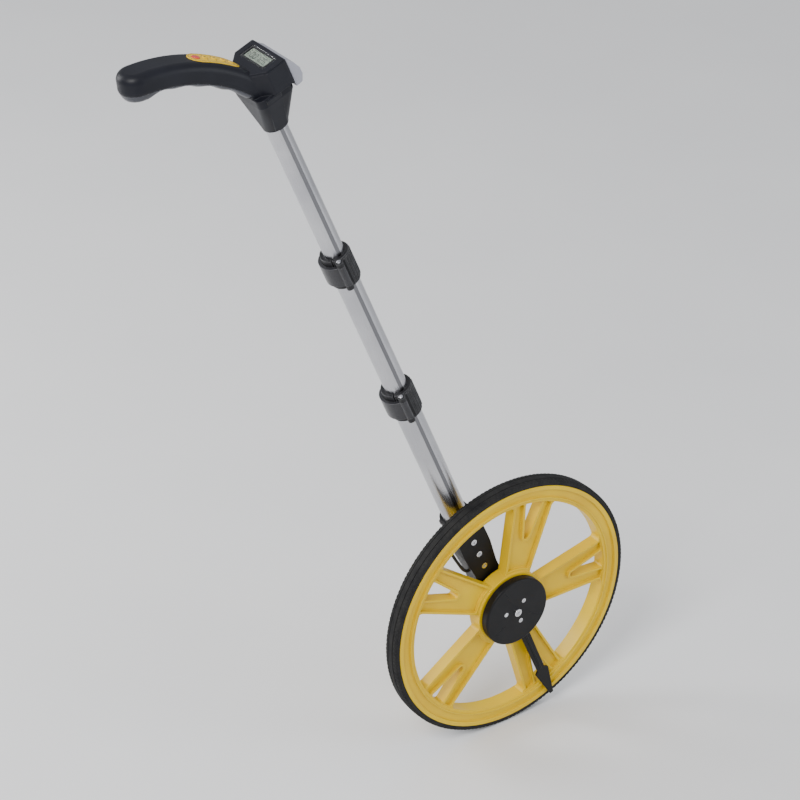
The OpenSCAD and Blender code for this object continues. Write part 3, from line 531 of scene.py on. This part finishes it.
def under_skin(inset):
    """Rows of points along the grip, then round the far end."""
    lines = []
    n = 96
    for i in range(n + 1):
        a = A0 + (A1 - A0) * i / n
        sec = under_section(a, inset)
        row = [arch(a, 0, y, r) for y, r in sec]
        row += [arch(a, 0, -y, r) for y, r in sec[-2::-1]]
        lines.append(row)
    sec = under_section(A1, inset)
    for i in range(1, 25):
        b = math.pi * i / 48
        row = [arch(A1, -y * math.sin(b), y * math.cos(b), r) for y, r in sec]
        row += [arch(A1, -y * math.sin(b), -y * math.cos(b), r) for y, r in sec[-2::-1]]
        lines.append(row)
    return lines


outer, inner = under_skin(0), under_skin(WALL)
cols = len(outer[0])
verts = [p for row in outer for p in row] + [p for row in inner for p in row]
off = len(outer) * cols
faces = []
for i in range(len(outer) - 1):
    for k in range(cols - 1):
        a, b = i * cols + k, i * cols + k + 1
        faces.append((a, b, b + cols, a + cols))
        faces.append((off + a + cols, off + b + cols, off + b, off + a))
    for k, flip in ((0, False), (cols - 1, True)):
        a, b = i * cols + k, (i + 1) * cols + k
        q = (a, b, off + b, off + a)
        faces.append(q[::-1] if flip else q)
for k in range(cols - 1):
    faces.append((k + 1, k, off + k, off + k + 1))
piece("grip_underside", verts, faces, SOFT, "handle",
      stands_for=["handle_bottom_shell"], angle=50)

# ---- Display: seven-segment figures and its dark frame ---------------------------------------
HEAD_U = 784
LCD_TOP = HEAD_U - 2.2
SEG_ON = {"0": "abcdef", "1": "bc", "2": "abged", "3": "abgcd", "4": "fgbc", "5": "afgcd",
          "6": "afgedc", "7": "abc", "8": "abcdefg", "9": "abcfgd"}


def bar(cx, cy, along_x, length, width):
    """Six-sided segment in the display's own plane: x to its right, y to its top."""
    h, w = length / 2, width / 2
    pts = [(-h, 0), (-h + w, w), (h - w, w), (h, 0), (h - w, -w), (-h + w, -w)]
    if not along_x:
        pts = [(-y, x) for x, y in pts]
    return [(cx + x, cy + y) for x, y in pts]


def figure(ch, x0, y0, w, h, t):
    seg = {"a": (x0 + w / 2, y0 + h, True), "g": (x0 + w / 2, y0 + h / 2, True),
           "d": (x0 + w / 2, y0, True), "f": (x0, y0 + 0.75 * h, False),
           "b": (x0 + w, y0 + 0.75 * h, False), "e": (x0, y0 + 0.25 * h, False),
           "c": (x0 + w, y0 + 0.25 * h, False)}
    return [bar(seg[s][0], seg[s][1], seg[s][2], (w if seg[s][2] else h / 2) - 0.25, t)
            for s in SEG_ON[ch]]


def on_display(outline, u, thick):
    pts = [pole(12.3 + y, -x, u) for x, y in outline]
    return prism(pts, UP, thick * MM)


plates = []
x = -11.5
for ch in "00125":
    plates += [on_display(o, LCD_TOP + 0.02, 0.06) for o in figure(ch, x, -3.2, 3.2, 6.4, 0.75)]
    x += 5.0
    if ch == "2":
        plates.append(on_display(bar(x - 0.9, -3.2, True, 1.0, 0.9), LCD_TOP + 0.02, 0.06))
for k in range(3):
    plates.append(on_display(bar(-15.2, 3.6 - k * 2.6, True, 2.2, 0.7), LCD_TOP + 0.02, 0.06))
printed("display_figures", plates, INK, "handle")

# a thin dark border printed under the window
border = []
for (x0, y0, x1, y1) in ((-19.0, 6.0, 19.0, 7.6), (-19.0, -7.6, 19.0, -6.0),
                         (-19.0, -6.0, -17.4, 6.0), (17.4, -6.0, 19.0, 6.0)):
    border.append(on_display([(x0, y0), (x1, y0), (x1, y1), (x0, y1)], HEAD_U - 0.2, 0.04))
printed("window_border", border, INK, "handle")

# ---- Keypad prints ---------------------------------------------------------------------------
PAD_MID, BUTTON_S, KEY_PITCH = 46.0, 20, 10.0


def key_angle(k):
    return PAD_MID + math.degrees((BUTTON_S - k * KEY_PITCH) / GRIP_R)


def on_pad(a, outline, r=GRIP_R + 0.61, thick=0.05):
    """Plate on the arch: outline x to the user's right, y towards the head."""
    pts = [arch(a, y, -x, r) for x, y in outline]
    c = pole(ARCH_X, 0, ARCH_U)
    up = (arch(a, 0, 0, r) - c).normalized()
    return prism(pts, up, thick * MM)


def disc(cx, cy, r, n=20):
    return [(cx + r * math.cos(2 * math.pi * i / n), cy + r * math.sin(2 * math.pi * i / n))
            for i in range(n)]


KEY_TOP = GRIP_R + 1.51
MARKS = {1: [[(-1.3, -0.9), (1.3, -0.9), (0, 1.3)]],
         2: [[(-1.3, 0.9), (0, -1.3), (1.3, 0.9)]],
         3: [disc(0, 0, 1.1)],
         4: [[(-1.4, dy - 0.3), (1.4, dy - 0.3), (1.4, dy + 0.3), (-1.4, dy + 0.3)]
             for dy in (-0.8, 0.8)]}
for k, shapes in MARKS.items():
    ink, slot = (RED_INK, "red_plastic") if k == 3 else (INK, "black_plastic")
    printed(f"key_mark_{k}", [on_pad(key_angle(k), shape, KEY_TOP) for shape in shapes],
            ink, f"key_{k}")
prints = []
for k in range(1, 5):
    a = key_angle(k)
    for s in (-1, 1):
        prints.append(on_pad(a, [(s * 5.6 - 0.9, -0.35), (s * 5.6 + 0.9, -0.35),
                                 (s * 5.6 + 0.9, 0.35), (s * 5.6 - 0.9, 0.35)]))
printed("keypad_prints", prints, INK, "handle")
# thin dark line round the keypad, following the arch
n = 160
straight = (56 - 21) / 2


def pad_outline(t, r):
    """A point of the stadium's edge, t from 0 to 1 round it, at end radius r."""
    total = 4 * straight + 2 * math.pi * r
    d = t * total
    if d < 2 * straight:
        return r, -straight + d
    d -= 2 * straight
    if d < math.pi * r:
        a = d / r
        return r * math.cos(a), straight + r * math.sin(a)
    d -= math.pi * r
    if d < 2 * straight:
        return -r, straight - d
    a = math.pi + (d - 2 * straight) / r
    return r * math.cos(a), -straight + r * math.sin(a)


verts = []
for i in range(n):
    for r, h in ((9.3, 0.61), (8.9, 0.61), (8.9, 0.66), (9.3, 0.66)):
        px, py = pad_outline(i / n, r)
        verts.append(arch(PAD_MID - math.degrees(py / GRIP_R), 0, -px, GRIP_R + h))
faces = []
for i in range(n):
    for k in range(4):
        a, b = i * 4 + k, i * 4 + (k + 1) % 4
        c, d = (i + 1) % n * 4 + (k + 1) % 4, (i + 1) % n * 4 + k
        faces.append((a, b, c, d))
piece("keypad_line", verts, faces, INK, "handle", smooth=False)

# ---- Floor and light -------------------------------------------------------------------------
floor_mesh = bpy.data.meshes.new("floor")
floor_mesh.from_pydata([(-30, -30, -0.0004), (30, -30, -0.0004), (30, 30, -0.0004),
                        (-30, 30, -0.0004)], [], [(0, 1, 2, 3)])
floor = bpy.data.objects.new("floor", floor_mesh)
bpy.context.scene.collection.objects.link(floor)
paper = bpy.data.materials.new("pale_paper")
paper.use_nodes = True
p_nt = paper.node_tree
p_bsdf = p_nt.nodes["Principled BSDF"]
p_v = coords(p_nt)
link(p_nt, mix(p_nt, spread(p_nt, noise(p_nt, p_v, 3), 0, 1), (0.8, 0.8, 0.8),
               (0.77, 0.77, 0.775)), p_bsdf.inputs["Base Color"])
p_bsdf.inputs["Roughness"].default_value = 0.75
floor_mesh.materials.append(paper)

world = bpy.data.worlds.new("studio")
bpy.context.scene.world = world
world.use_nodes = True
w_nt = world.node_tree
w_tc = w_nt.nodes.new("ShaderNodeTexCoord")
w_sep = w_nt.nodes.new("ShaderNodeSeparateXYZ")
link(w_nt, w_tc.outputs["Generated"], w_sep.inputs[0])
w_sky = spread(w_nt, w_sep.outputs["Z"], 0, 1, 0.05, 0.85)
link(w_nt, mix(w_nt, w_sky, (0.74, 0.76, 0.8), (1.6, 1.63, 1.7)),
     w_nt.nodes["Background"].inputs["Color"])
w_nt.nodes["Background"].inputs["Strength"].default_value = 0.5


def area_light(name, where, at, size, power, colour=(1, 1, 1)):
    data = bpy.data.lights.new(name, "AREA")
    data.shape = "RECTANGLE"
    data.size, data.size_y = size
    data.energy = power
    data.color = colour
    ob = bpy.data.objects.new(name, data)
    bpy.context.scene.collection.objects.link(ob)
    ob.location = where
    ob.rotation_mode = "QUATERNION"
    ob.rotation_quaternion = (Vector(where) - Vector(at)).to_track_quat("Z", "Y")


area_light("key", (-2.2, -1.0, 2.6), (-0.15, 0, 0.4), (1.2, 1.2), 84, (1, 0.985, 0.96))
area_light("fill", (1.7, -2.3, 1.2), (-0.1, 0, 0.4), (1.0, 2.0), 36, (0.94, 0.97, 1))
area_light("back", (-1.6, 2.0, 1.3), (-0.15, 0, 0.5), (0.8, 1.6), 46)
